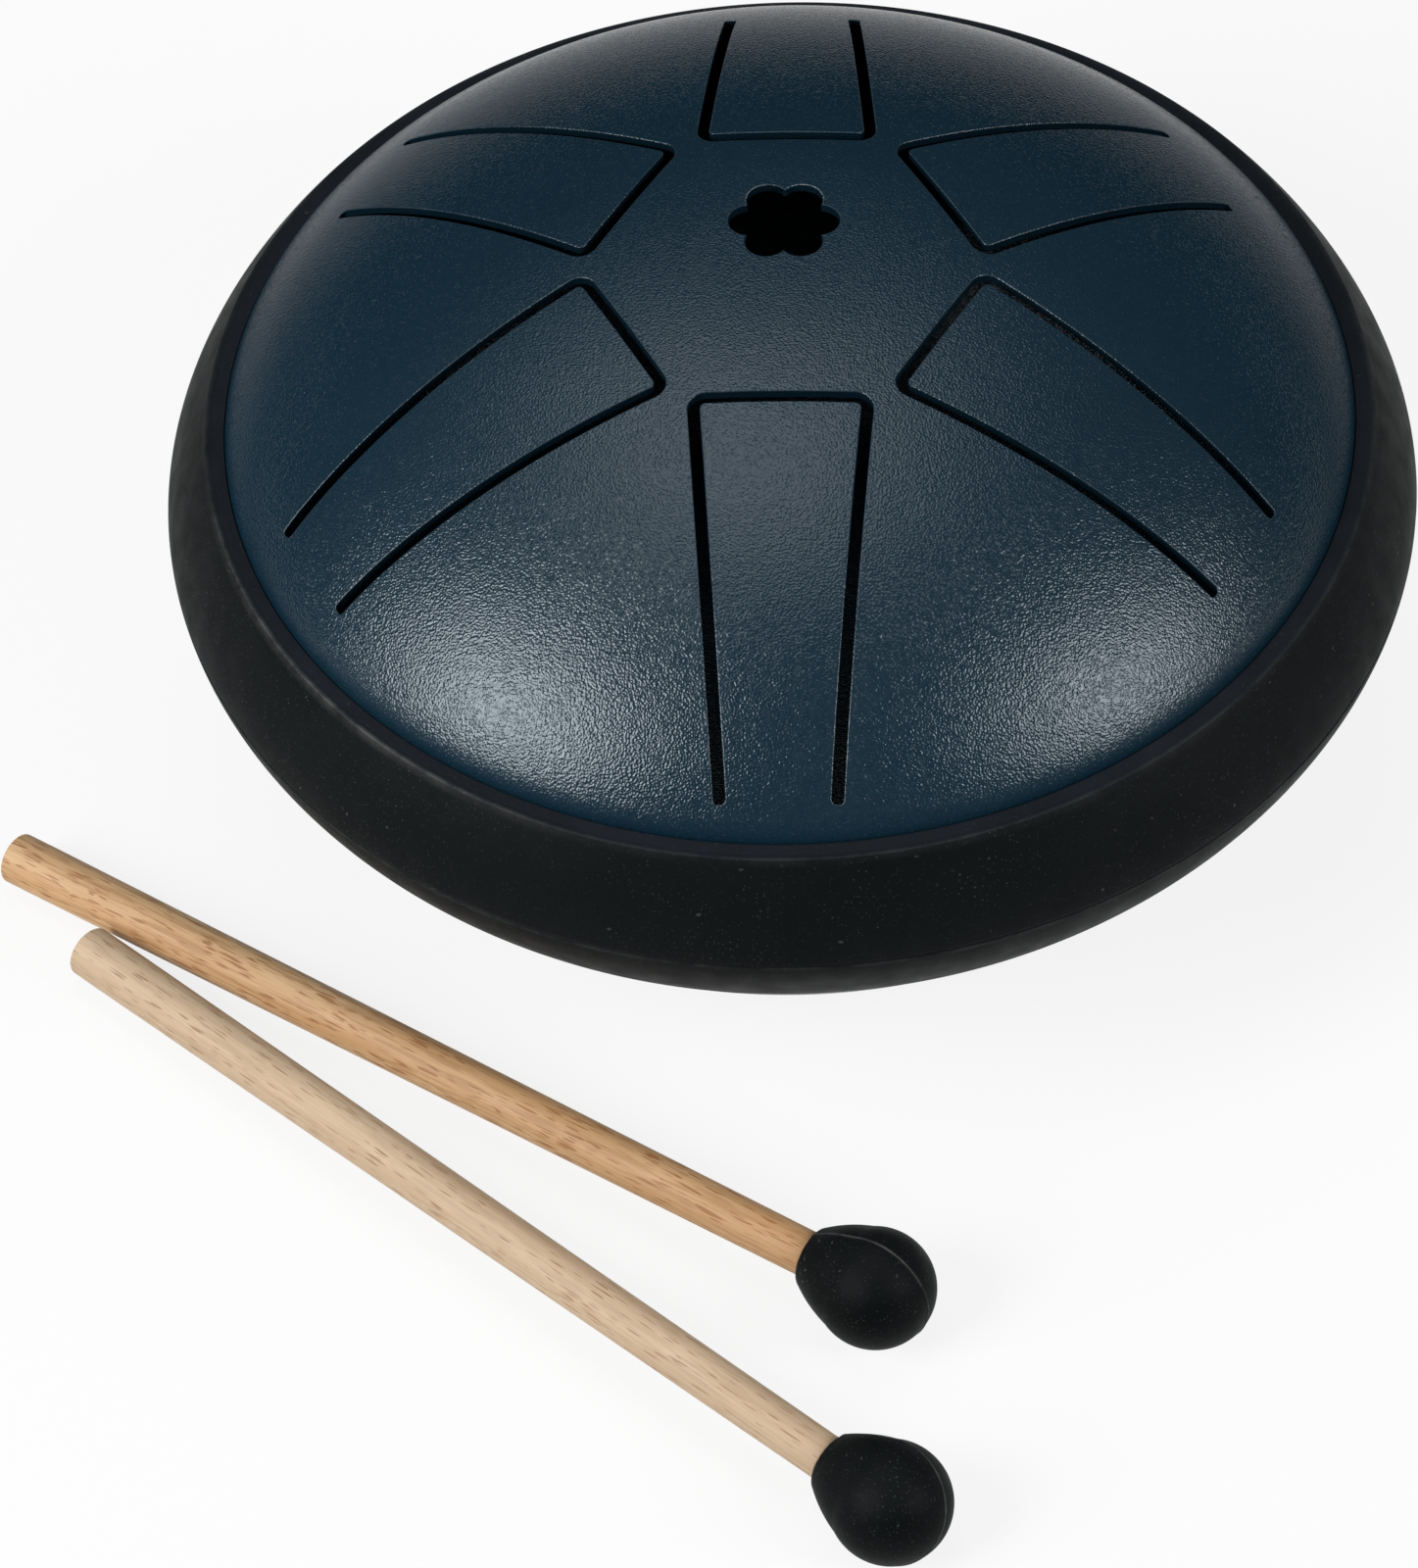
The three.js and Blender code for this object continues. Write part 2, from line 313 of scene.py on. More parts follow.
def fillet(corners, steps=6):
    """A line through (radius, height, rounding) corners, each corner rounded by an arc."""
    out = []
    last = len(corners) - 1
    for i, (x, y, rounding) in enumerate(corners):
        here = np.array([x, y], float)
        if rounding <= 0 or i in (0, last):
            out.append(tuple(here))
            continue
        before = np.array(corners[i - 1][:2], float) - here
        after = np.array(corners[i + 1][:2], float) - here
        before /= np.linalg.norm(before)
        after /= np.linalg.norm(after)
        half = math.acos(max(-1.0, min(1.0, float(before @ after)))) / 2
        reach = rounding / math.tan(half)
        middle = here + (before + after) / np.linalg.norm(before + after) * rounding / math.sin(half)
        start = here + before * reach - middle
        stop = here + after * reach - middle
        turn = math.atan2(start[0] * stop[1] - start[1] * stop[0], float(start @ stop))
        for step in range(steps + 1):
            c, s = math.cos(turn * step / steps), math.sin(turn * step / steps)
            out.append((middle[0] + c * start[0] - s * start[1], middle[1] + s * start[0] + c * start[1]))
    return out


# The pressed curve of both shells

def curve_height(radius, rim, flat, rise):
    share = np.clip((np.asarray(radius, float) - flat) / (rim - flat), 0, 1)
    return rise * (1 - share**CROWN_EXPONENT) ** (1 / SHOULDER_EXPONENT)


def curve_normals(plan, rim, rise):
    """Upward normals of a dome's curve, kept just short of level at the rim."""
    steepest = 1 - 1e-7
    radius = np.hypot(plan[:, 0], plan[:, 1])
    share = np.clip(radius / rim, TINY, steepest) ** CROWN_EXPONENT
    fall = rise / SHOULDER_EXPONENT * (1 - share) ** (1 / SHOULDER_EXPONENT - 1)
    fall *= CROWN_EXPONENT * share / np.maximum(radius, TINY)
    lean = fall / np.maximum(radius, TINY)
    normals = np.stack([plan[:, 0] * lean, plan[:, 1] * lean, np.ones(len(plan))], 1)
    return normals / np.linalg.norm(normals, axis=1, keepdims=True)


def top_height(plan):
    radius = np.hypot(plan[:, 0], plan[:, 1])
    return JOINT_HEIGHT + LIP_HEIGHT + curve_height(radius, LIP_RADIUS, 0, DOME_RISE)


def top_normals(plan):
    return curve_normals(plan, LIP_RADIUS, DOME_RISE)


def under_height(plan):
    radius = np.hypot(plan[:, 0], plan[:, 1])
    return JOINT_HEIGHT + LIP_HEIGHT + curve_height(radius, LIP_RADIUS - SHEET, 0, DOME_RISE - SHEET)


def under_normals(plan):
    return curve_normals(plan, LIP_RADIUS - SHEET, DOME_RISE - SHEET)


# Outlines in plan

def arc(centre, radius, start, stop, steps):
    angles = np.linspace(start, stop, steps + 1)
    return np.asarray(centre) + circle(radius, angles)


def straight(start, stop, spacing=SLOT_PITCH):
    """Evenly spaced points between two ends, without the ends."""
    count = max(2, round(float(np.linalg.norm(np.subtract(stop, start))) / spacing))
    share = np.linspace(0, 1, count + 1)[1:-1, None]
    return np.asarray(start) * (1 - share) + np.asarray(stop) * share


def tongue_azimuth(index):
    return -math.pi / 2 + index * 2 * math.pi / TONGUES


def slot_loop(index, grow):
    """The slot round one tongue, widened by grow all round.

    Returns its points, and how many of them come first and edge the dome. The others edge the tongue.
    """
    taper = TONGUE_TAPER
    half_turn = math.pi / TONGUES
    slot_tip = TONGUE_TIP - SLOT_WIDTH
    slot_half = (slot_tip * math.sin(half_turn) - SLOT_WEB / 2) / math.cos(half_turn)

    def side(along, widen):
        """How far the tongue's edge, moved outwards by widen, lies from its middle line."""
        return slot_half - (SLOT_WIDTH - widen) / math.cos(taper) - (along - slot_tip) * math.tan(taper)

    corner_along = TONGUE_TIP + TONGUE_CORNER
    corner = (corner_along, side(corner_along, 0) - TONGUE_CORNER / math.cos(taper))
    end_along = ROOTS[index] - SLOT_END
    outer_end = (end_along, side(end_along, SLOT_WIDTH) - SLOT_END / math.cos(taper))
    inner_end = (end_along, side(end_along, 0) + SLOT_END / math.cos(taper))
    quarter = math.pi / 2
    end_in = arc(inner_end, SLOT_END + grow, -(quarter + taper), 0, steps=5)
    end_out = arc(outer_end, SLOT_END + grow, 0, quarter - taper, steps=5)
    tip_out = arc(corner, TONGUE_CORNER + SLOT_WIDTH + grow, quarter - taper, math.pi, steps=8)
    tip_in = arc(corner, TONGUE_CORNER - grow, math.pi, quarter - taper, steps=6)
    flip = np.array([1.0, -1.0])
    tip_out_low, end_out_low, end_in_low, tip_in_low = [
        part[::-1] * flip for part in (tip_out, end_out, end_in, tip_in)
    ]
    outer = [end_in, end_out, straight(end_out[-1], tip_out[0]), tip_out]
    outer += [straight(tip_out[-1], tip_out_low[0]), tip_out_low]
    outer += [straight(tip_out_low[-1], end_out_low[0]), end_out_low, end_in_low]
    inner = [straight(end_in_low[-1], tip_in_low[0]), tip_in_low]
    inner += [straight(tip_in_low[-1], tip_in[0]), tip_in, straight(tip_in[-1], end_in[0])]
    local = np.vstack(outer + inner)
    c, s = math.cos(tongue_azimuth(index)), math.sin(tongue_azimuth(index))
    world = np.stack([local[:, 0] * c - local[:, 1] * s, local[:, 0] * s + local[:, 1] * c], 1)
    return world, sum(len(part) for part in outer)


def hole_loop(grow):
    """The rosette of the sound hole, widened by grow all round."""
    step = 2 * math.pi / HOLE_LOBES
    far = HOLE_SPAN / 2
    near = far - LOBE_DEPTH
    near_x = near * math.cos(step / 2)
    reach = (far**2 - near**2) / (2 * (far - near_x))
    radius = far - reach + grow
    half = step / 2 + math.asin(reach * math.sin(step / 2) / radius)
    lobes = []
    for lobe in range(HOLE_LOBES):
        turn = lobe * step
        middle = (reach * math.cos(turn), reach * math.sin(turn))
        lobes.append(arc(middle, radius, turn - half, turn + half, steps=18)[:-1])
    return np.vstack(lobes) + np.array([0.0, HOLE_OFFSET])


def opening(index, grow):
    """The points of one slot, or of the hole after the last slot, and how many of them edge the dome."""
    if index < TONGUES:
        return slot_loop(index, grow)
    points = hole_loop(grow)
    return points, len(points)


def inside(points, loop):
    x, y = points[:, 0], points[:, 1]
    found = np.zeros(len(points), bool)
    for (x0, y0), (x1, y1) in zip(loop, np.roll(loop, -1, axis=0)):
        if y0 == y1:
            continue
        crosses = (y0 > y) != (y1 > y)
        found ^= crosses & (x < (x1 - x0) * (y - y0) / (y1 - y0) + x0)
    return found


def far_from(points, others, distance, batch=400):
    keep = np.ones(len(points), bool)
    for start in range(0, len(points), batch):
        gap = np.linalg.norm(points[start : start + batch, None] - others[None], axis=2).min(1)
        keep[start : start + batch] = gap > distance
    return keep


# The dome and its tongues, made as one sheet and then parted at the roots

class Sheet:
    """Points, normals and edge marks of the sheet (pale rubbed paint that is partly a painted glint, and
    painted shade on the walls), with a list of faces for the dome and for each tongue.
    """

    def __init__(self):
        self.points, self.normals, self.wear_glint_and_shade = [], [], []
        self.faces = [[] for _ in range(TONGUES + 1)]
        self.total = 0

    def add_row(self, plan, height, normals, wear_glint_and_shade=0.0):
        """Adds points at a height above their plan, and returns their numbers."""
        self.points.append(np.column_stack([plan, height]))
        self.normals.append(normals)
        self.wear_glint_and_shade.append(np.full(len(plan), wear_glint_and_shade))
        start = self.total
        self.total += len(plan)
        return list(range(start, self.total))

    def part(self, name, owner):
        """The faces of one owner as a piece of their own: 0 is the dome, and a tongue has its number."""
        faces = self.faces[owner]
        used = np.unique(np.concatenate([np.array(face) for face in faces]))
        place = np.full(self.total, -1)
        place[used] = np.arange(len(used))
        moved = [tuple(int(place[v]) for v in face) for face in faces]
        piece = add_piece(name, np.vstack(self.points)[used], moved, np.vstack(self.normals)[used])
        set_values(piece, "edge_wear_glint_and_shade", np.concatenate(self.wear_glint_and_shade)[used])
        return piece


def closed_pairs(chain):
    return list(zip(chain, chain[1:] + chain[:1]))


def dome_rows():
    """Points in rings about the axis, close together towards the rim where the curve falls steeply."""
    rows = [np.zeros((1, 2))]
    rows += [circle(radius, even_angles(RIM_STEPS)) for radius in RIM_ROWS]
    fewest = 6
    inner = SHOULDER_ROWS + list(np.arange(CROWN_START, CROWN_END, -DOME_PITCH))
    for row, radius in enumerate(inner, len(RIM_ROWS)):
        count = max(fewest, round(2 * math.pi * radius / DOME_PITCH))
        half_step = math.pi / count
        rows.append(circle(radius, even_angles(count) + (row % 2) * half_step))
    return np.vstack(rows)


def plan_sheet():
    """The sheet from above, cut into triangles along its rim, its openings and the tongues' roots.

    Returns the points, the triangles, their owners, and the numbers of the points on the rim and each
    opening and on each root. A triangle inside an opening has the owner -1.
    """
    outlines = [list(range(RIM_STEPS))]
    roots = []
    fixed = [circle(LIP_RADIUS, even_angles(RIM_STEPS))]
    edges = closed_pairs(outlines[0])
    total = RIM_STEPS
    for index in range(TONGUES + 1):
        points, split = opening(index, EDGE_ROUND)
        outline = list(range(total, total + len(points)))
        outlines.append(outline)
        fixed.append(points)
        edges += closed_pairs(outline)
        total += len(points)
        if index < TONGUES:
            cut = straight(points[0], points[split - 1], ROOT_PITCH)
            chain = [outline[0], *range(total, total + len(cut)), outline[split - 1]]
            roots.append(chain)
            fixed.append(cut)
            edges += list(zip(chain, chain[1:]))
            total += len(cut)
    fixed = np.vstack(fixed)
    free = dome_rows()
    free = free[far_from(free, fixed[RIM_STEPS:], EDGE_CLEAR)]
    for index in range(TONGUES + 1):
        free = free[~inside(free, opening(index, EDGE_ROUND)[0])]
    whole_sheet, closest = 0, 1e-7
    corners = [Vector(point) for point in np.vstack([fixed, free])]
    made = delaunay_2d_cdt(corners, edges, [], whole_sheet, closest)
    plan = np.array([tuple(v) for v in made[0]])
    place = {old: new for new, olds in enumerate(made[3]) for old in olds}
    outlines = [[place[i] for i in outline] for outline in outlines]
    roots = [[place[i] for i in chain] for chain in roots]
    triangles = np.array([face for face in made[2] if len(face) == 3])
    middles = plan[triangles].mean(1)
    owners = np.zeros(len(triangles), int)
    for index in range(TONGUES + 1):
        points, split = opening(index, EDGE_ROUND)
        if index < TONGUES:
            owners[inside(middles, np.vstack([points[split - 1 :], points[:1]]))] = index + 1
        owners[inside(middles, points)] = -1
    a, b, c = plan[triangles[:, 0]], plan[triangles[:, 1]], plan[triangles[:, 2]]
    turned_over = (b[:, 0] - a[:, 0]) * (c[:, 1] - a[:, 1]) < (b[:, 1] - a[:, 1]) * (c[:, 0] - a[:, 0])
    triangles[turned_over] = triangles[turned_over][:, ::-1]
    return plan, triangles, owners, outlines, roots


def add_both_faces(sheet, plan, triangles, owners):
    """The top face, and the underside with its rim drawn in by the sheet's thickness."""
    radius = np.hypot(plan[:, 0], plan[:, 1])
    drawn_in = (LIP_RADIUS - SHEET - UNDERSIDE_START) / (LIP_RADIUS - UNDERSIDE_START)
    under_radius = UNDERSIDE_START + (radius - UNDERSIDE_START) * drawn_in
    shrink = np.where(radius > UNDERSIDE_START, under_radius / np.maximum(radius, 1), 1.0)
    below = plan * shrink[:, None]
    sheet.add_row(plan, top_height(plan), top_normals(plan))
    sheet.add_row(below, under_height(below), -under_normals(below))
    for owner, faces in enumerate(sheet.faces):
        faces += [tuple(int(v) for v in triangle) for triangle in triangles[owners == owner]]
        faces += [tuple(v + len(plan) for v in reversed(face)) for face in faces]


def add_edges(sheet, index, outline, under):
    """The rounded edges and the wall of one opening, as rows of points from the top face to the underside.

    The number under leads from a point of the top face to the one below it.
    """
    into = opening(index, 0.0)[0] - opening(index, EDGE_ROUND)[0]
    into /= np.linalg.norm(into, axis=1, keepdims=True)
    upright = math.pi / 2
    rows = [outline]
    for bend in np.linspace(0, math.pi, EDGE_ROWS)[1:-1]:
        plan, split = opening(index, EDGE_ROUND * (1 - math.sin(bend)))
        if bend <= upright:
            height = top_height(plan) - EDGE_ROUND * (1 - math.cos(bend))
            lean = math.cos(bend) * top_normals(plan)
        else:
            height = under_height(plan) + EDGE_ROUND * (1 + math.cos(bend))
            lean = math.cos(bend) * under_normals(plan)
        lean[:, :2] += math.sin(bend) * into
        lean /= np.linalg.norm(lean, axis=1, keepdims=True)
        # Near the top of the rounding the paint is pale, partly rubbed and partly a painted glint; the wall
        # below carries painted shade
        wear_glint_and_shade = bell(bend - RUBBED_GLINT_BEND, RUBBED_GLINT_SPREAD) if bend < WALL_BEND else WALL_SHADE_MARK
        rows.append(sheet.add_row(plan, height, lean, wear_glint_and_shade))
        if math.isclose(bend, upright):
            rows.append(sheet.add_row(plan, under_height(plan) + EDGE_ROUND, lean, WALL_SHADE_MARK))
    rows.append([number + under for number in outline])
    for upper, lower in zip(rows, rows[1:]):
        for i in range(len(outline)):
            j = (i + 1) % len(outline)
            owner = index + 1 if index < TONGUES and i >= split - 1 else 0
            sheet.faces[owner].append((upper[i], upper[j], lower[j], lower[i]))
    return rows


def close_root(sheet, index, root, rows, under):
    """The faces where a tongue meets the dome, for the tongue and turned over for the dome."""
    _, split = opening(index, EDGE_ROUND)
    first_end, last_end = [row[0] for row in rows], [row[split - 1] for row in rows]
    faces = [(a, b, b + under, a + under) for a, b in zip(root, root[1:])]
    faces.append((first_end[0], *first_end[:0:-1]))
    faces.append((last_end[-1], *last_end[:-1]))
    sheet.faces[index + 1] += faces
    sheet.faces[0] += [face[::-1] for face in faces]


def add_flange(sheet, rim, under):
    """The dome's wall and flange, which the rim ring hides."""
    away = circle(1.0, even_angles(RIM_STEPS))
    outward = np.column_stack([away, np.zeros(RIM_STEPS)])
    rows = [rim]
    for out, up in [(WALL_FOOT, SHEET), (FLANGE_RADIUS, SHEET), (FLANGE_RADIUS, 0), (WALL_FOOT - SHEET, 0)]:
        rows.append(sheet.add_row(away * out, np.full(RIM_STEPS, JOINT_HEIGHT + up), outward))
    rows.append([number + under for number in rim])
    for upper, lower in zip(rows, rows[1:]):
        for i, j in closed_pairs(list(range(RIM_STEPS))):
            sheet.faces[0].append((upper[i], lower[i], lower[j], upper[j]))


def make_sheet():
    plan, triangles, owners, outlines, roots = plan_sheet()
    sheet = Sheet()
    under = len(plan)
    add_both_faces(sheet, plan, triangles, owners)
    for index in range(TONGUES):
        rows = add_edges(sheet, index, outlines[index + 1], under)
        close_root(sheet, index, roots[index], rows, under)
    add_edges(sheet, TONGUES, outlines[TONGUES + 1], under)
    add_flange(sheet, outlines[0], under)
    return sheet


# The other pieces

def make_bowl():
    def curve(rim, rise, steps=40):
        out = [(0.0, rise)]
        for step in range(steps + 1):
            radius = BASE_RADIUS + math.sin(step / steps * math.pi / 2) * (rim - BASE_RADIUS)
            out.append((radius, float(curve_height(radius, rim, BASE_RADIUS, rise))))
        return [(r, JOINT_HEIGHT - LIP_HEIGHT - h) for r, h in out]

    rise = JOINT_HEIGHT - LIP_HEIGHT
    outside = curve(LIP_RADIUS, rise)
    flange = [(WALL_FOOT, JOINT_HEIGHT - SHEET), (FLANGE_RADIUS, JOINT_HEIGHT - SHEET)]
    flange += [(FLANGE_RADIUS, JOINT_HEIGHT), (WALL_FOOT - SHEET, JOINT_HEIGHT)]
    within = curve(LIP_RADIUS - SHEET, rise - SHEET)
    return lathe(outside + flange + within[::-1], even_angles(BOWL_STEPS))


def rising_outside(loop):
    """The loop turned so that it rises on its outside."""
    area = sum(x0 * y1 - x1 * y0 for (x0, y0), (x1, y1) in closed_pairs(loop))
    return loop if area > 0 else loop[::-1]


def ring_profile():
    """The ring's section: a groove for the flanges, a beaded lip, a bulging band and a mould line."""
    inner = [
        (FLANGE_RADIUS + RING_CLEARANCE, SHEET + RING_CLEARANCE, 0),
        (WALL_FOOT + RING_CLEARANCE, SHEET + RING_CLEARANCE, GROOVE_ROUND),
        (LIP_RADIUS + LIP_GAP, LIP_HEIGHT - LIP_DROP, LIP_ROUND),
        (RIDGE_RADIUS - BEAD_WIDTH, LIP_HEIGHT - BEAD_DIP, BEAD_ROUND),
        (RIDGE_RADIUS - RIDGE_INSET, LIP_HEIGHT, RIDGE_ROUND),
    ]
    bulge = RING_RADIUS - RIDGE_RADIUS
    band = []
    for share in np.linspace(BAND_TOP, BAND_SEAM, BAND_ROWS):
        band.append((RING_RADIUS - bulge * share**BAND_EXPONENT, LIP_HEIGHT * share, 0))
    seam = [(RING_RADIUS - depth, height, 0) for depth, height in SEAM_GROOVE]
    upper = fillet(inner + band + seam)
    lower = [(r, -h) for r, h in upper[::-1]]
    return rising_outside([(r, h + JOINT_HEIGHT) for r, h in lower + upper])


def make_ring():
    loop = ring_profile()
    angles = even_angles(RIM_STEPS)
    # The crest's painted highlight is strongest in the arc that faces the left softbox
    around = np.exp(-(((np.degrees(angles) - CREST_HIGHLIGHT_AZIMUTH) / CREST_HIGHLIGHT_ARC) ** 4))
    around = CREST_LEAST + (1 - CREST_LEAST) * around
    pale_and_highlight = []
    for radius, height in loop:
        rise = height - JOINT_HEIGHT
        off_crest = math.hypot(radius - RIDGE_RADIUS + CREST_INSET, abs(rise) - LIP_HEIGHT + CREST_DROP)
        below_seam = bell(rise + SEAM_DROP, SEAM_WIDTH) * (radius > RIDGE_RADIUS)
        pale_and_highlight.append(np.maximum(bell(off_crest, CREST_WIDTH) * around, SEAM_SHARE * below_seam))
    points, faces, normals = lathe(loop, angles, closed=True)
    return points, faces, normals, np.concatenate(pale_and_highlight)


def make_foot():
    corners = [
        (0, -FOOT_HEIGHT + DISH_DEPTH, 0),
        (DISH_RADIUS, -FOOT_HEIGHT + DISH_DEPTH, DISH_ROUND),
        (LAND_RADIUS, -FOOT_HEIGHT, LAND_ROUND),
        (FOOT_RADIUS - FOOT_DRAFT, -FOOT_HEIGHT, FOOT_ROUND),
        (FOOT_RADIUS, -FOOT_BAND, FOOT_BAND_ROUND),
        (FOOT_RADIUS, 0, 0),
        (0, 0, 0),
    ]
    return lathe(fillet(corners), even_angles(FOOT_STEPS))


def on_x(points):
    """Points turned about Z, laid along X."""
    return np.asarray(points)[:, [2, 0, 1]]


def make_stick(length):
    shoulder = length - HEAD_CLEARANCE
    corners = [(0, BUTT_START, 0), (BUTT_RADIUS - BUTT_INSET, BUTT_START, BUTT_ROUND)]
    for share in np.linspace(0, 1, STICK_ROWS)[1:]:
        corners.append((BUTT_RADIUS + (NECK_RADIUS - BUTT_RADIUS) * share, shoulder * share, 0))
    corners += [(TENON_RADIUS, shoulder, 0), (TENON_RADIUS, length + TENON_LENGTH, 0)]
    corners.append((0, length + TENON_LENGTH, 0))
    points, faces, normals = lathe(fillet(corners), even_angles(STICK_STEPS))
    return on_x(points), faces, on_x(normals)


def head_profile(bore):
    """A blind bore for the tenon, a rounded mouth, a swelling side and a ball end."""
    bore_end = TENON_LENGTH + HEAD_CLEARANCE
    mouth = np.array([NECK_RADIUS, HEAD_STEP])
    end = np.array([0.0, HEAD_CENTRE])
    apart = end - mouth
    slope = math.asin((HEAD_RADIUS - HEAD_STEP) / np.linalg.norm(apart)) + math.atan2(apart[0], apart[1])
    outward = np.array([math.cos(slope), -math.sin(slope)])
    start, stop = mouth + HEAD_STEP * outward, end + HEAD_RADIUS * outward
    profile = [(0, bore_end), (bore, bore_end), (bore, MOUTH_DEPTH), (bore + MOUTH_CHAMFER, MOUTH_START)]
    for angle in np.linspace(0, math.pi / 2 - slope, MOUTH_ROWS):
        profile.append((mouth[0] + HEAD_STEP * math.sin(angle), mouth[1] - HEAD_STEP * math.cos(angle)))
    for share in np.linspace(0, 1, SIDE_ROWS)[1:-1]:
        point = start + (stop - start) * share + outward * 4 * HEAD_SWELL * share * (1 - share)
        profile.append(tuple(point))
    for angle in np.linspace(math.pi / 2 + slope, 0, BALL_ROWS):
        profile.append((HEAD_RADIUS * math.sin(angle), HEAD_CENTRE + HEAD_RADIUS * math.cos(angle)))
    return profile


def make_head(length, mould_line):
    """A head with a raised mould line, finely meshed there. Also returns how far each point is raised."""
    bore = TENON_RADIUS + HEAD_CLEARANCE
    profile = [(r, h + length) for r, h in head_profile(bore)]
    near = np.radians(LINE_ROWS)
    near = np.concatenate([-near[:0:-1], near]) + mould_line
    even = even_angles(HEAD_STEPS) + mould_line + math.pi / HEAD_STEPS
    angles = np.sort(np.concatenate([even, near, near + math.pi]) % (2 * math.pi))
    closest = 1e-5
    angles = angles[np.concatenate([[True], np.diff(angles) > closest])]
    points, faces, normals = lathe(profile, angles)
    points, normals = on_x(points), on_x(normals)
    off_line = points[:, 2] * math.cos(mould_line) - points[:, 1] * math.sin(mould_line)
    line = bell(off_line, MOULD_WIDTH)
    # The line stays out of the bore and its mouth
    margin = 0.2
    near_bore = np.hypot(points[:, 1], points[:, 2]) < bore + margin
    line[near_bore & (points[:, 0] < length + TENON_LENGTH + HEAD_CLEARANCE + margin)] = 0
    return points + normals * (MOULD_RISE * line[:, None] - HEAD_INSET), faces, line


def mallet_matrix(index):
    """The mallets lie beside the ring, the second one outside the first, with butt and head on the table."""
    heading = MALLET_HEADINGS[0]
    along = np.array([math.cos(heading), math.sin(heading)])
    away = np.array([math.sin(heading), -math.cos(heading)])
    butt = away * (RING_RADIUS + MALLET_OFFSET) - along * MALLET_LEAD
    if index == 1:
        butt = butt + along * MALLET_STAGGER + away * (2 * BUTT_RADIUS + MALLET_GAP)
    rise = math.asin((HEAD_RADIUS - BUTT_RADIUS) / (STICK_LENGTHS[index] + HEAD_CENTRE))
    place = Matrix.Translation((butt[0] * MM, butt[1] * MM, (BUTT_RADIUS - FOOT_HEIGHT) * MM))
    return place @ Matrix.Rotation(MALLET_HEADINGS[index], 4, "Z") @ Matrix.Rotation(-rise, 4, "Y")


# Node helpers

def new_material(name):
    material = bpy.data.materials.new(name)
    material.use_nodes = True
    shader = material.node_tree.nodes["Principled BSDF"]
    return material, material.node_tree, shader


def add_node(tree, kind, settings=(), **inputs):
    """A node with its settings and inputs. An input has its name, or a number as in _0."""
    node = tree.nodes.new(kind)
    for key, value in dict(settings).items():
        setattr(node, key, value)
    for key, value in inputs.items():
        socket = node.inputs[int(key[1:])] if key[0] == "_" else node.inputs[key]
        if isinstance(value, bpy.types.NodeSocket):
            tree.links.new(value, socket)
        else:
            socket.default_value = value
    return node


def object_space(tree, scale=(1, 1, 1), matrix=Matrix()):
    """Object coordinates, seen in the frame of the matrix and then scaled."""
    coordinates = add_node(tree, "ShaderNodeTexCoord").outputs["Object"]
    mapping = add_node(tree, "ShaderNodeMapping", {"vector_type": "TEXTURE"}, Vector=coordinates)
    mapping.inputs["Location"].default_value = matrix.translation
    mapping.inputs["Rotation"].default_value = matrix.to_euler()
    mapping.inputs["Scale"].default_value = [1 / s for s in scale]
    return mapping.outputs["Vector"]


def piece_values(tree, name):
    return add_node(tree, "ShaderNodeAttribute", {"attribute_name": name}).outputs["Fac"]


def noise(tree, vector, scale=1, detail=2.0, rough=0.5):
    node = add_node(tree, "ShaderNodeTexNoise", Vector=vector, Scale=scale, Detail=detail, Roughness=rough)
    return node.outputs["Fac"]


def spread(tree, value, source, target):
    """The value moved from the source range to the target range, and kept inside it."""
    node = add_node(tree, "ShaderNodeMapRange", {"clamp": True}, Value=value)
    for key, number in zip(("From Min", "From Max", "To Min", "To Max"), (*source, *target)):
        node.inputs[key].default_value = number
    return node.outputs["Result"]


def blend_colours(tree, share, first, second):
    node = add_node(tree, "ShaderNodeMix", {"data_type": "RGBA"})
    tree.links.new(share, node.inputs[0])
    for socket, colour in ((node.inputs[6], first), (node.inputs[7], second)):
        if isinstance(colour, bpy.types.NodeSocket):
            tree.links.new(colour, socket)
        else:
            socket.default_value = (*colour, 1.0)
    return node.outputs[2]


def combine(tree, operation, first, second):
    return add_node(tree, "ShaderNodeMath", {"operation": operation}, _0=first, _1=second).outputs[0]


def multiply(tree, first, second):
    return combine(tree, "MULTIPLY", first, second)


def vector_math(tree, operation, first, **inputs):
    return add_node(tree, "ShaderNodeVectorMath", {"operation": operation}, _0=first, **inputs)


def specks(tree, vector, scale=1, size=0.5, share=0.5, smallest=1.0, core=0.5):
    """Round dots on a share of the cells, 1 in a dot's core and falling to 0 at its size.

    The core and the smallest dot are parts of the size.
    """
    cells = add_node(tree, "ShaderNodeTexVoronoi", Vector=vector, Scale=scale)
    picks = add_node(tree, "ShaderNodeSeparateColor", Color=cells.outputs["Color"])
    shrink = spread(tree, picks.outputs[1], (0, 1), (1 / smallest, 1))
    distance = multiply(tree, cells.outputs["Distance"], shrink)
    dot = spread(tree, distance, (size * core, size), (1, 0))
    soft = 0.02
    chosen = spread(tree, picks.outputs[0], (share - soft, share + soft), (1, 0))
    return multiply(tree, dot, chosen)


def waver(tree, vector, scale, amount):
    """The vector pushed about by a soft noise, so that rows of marks lose their order."""
    push = add_node(tree, "ShaderNodeTexNoise", Vector=vector, Scale=scale, Detail=1.0).outputs["Color"]
    average = (0.5, 0.5, 0.5)
    push = vector_math(tree, "SUBTRACT", push, _1=average).outputs["Vector"]
    push = vector_math(tree, "SCALE", push, Scale=amount).outputs["Vector"]
    return vector_math(tree, "ADD", vector, _1=push).outputs["Vector"]


def raise_surface(tree, height, distance, strength=1.0):
    node = add_node(tree, "ShaderNodeBump", Height=height, Strength=strength, Distance=distance)
    return node.outputs["Normal"]


# Materials

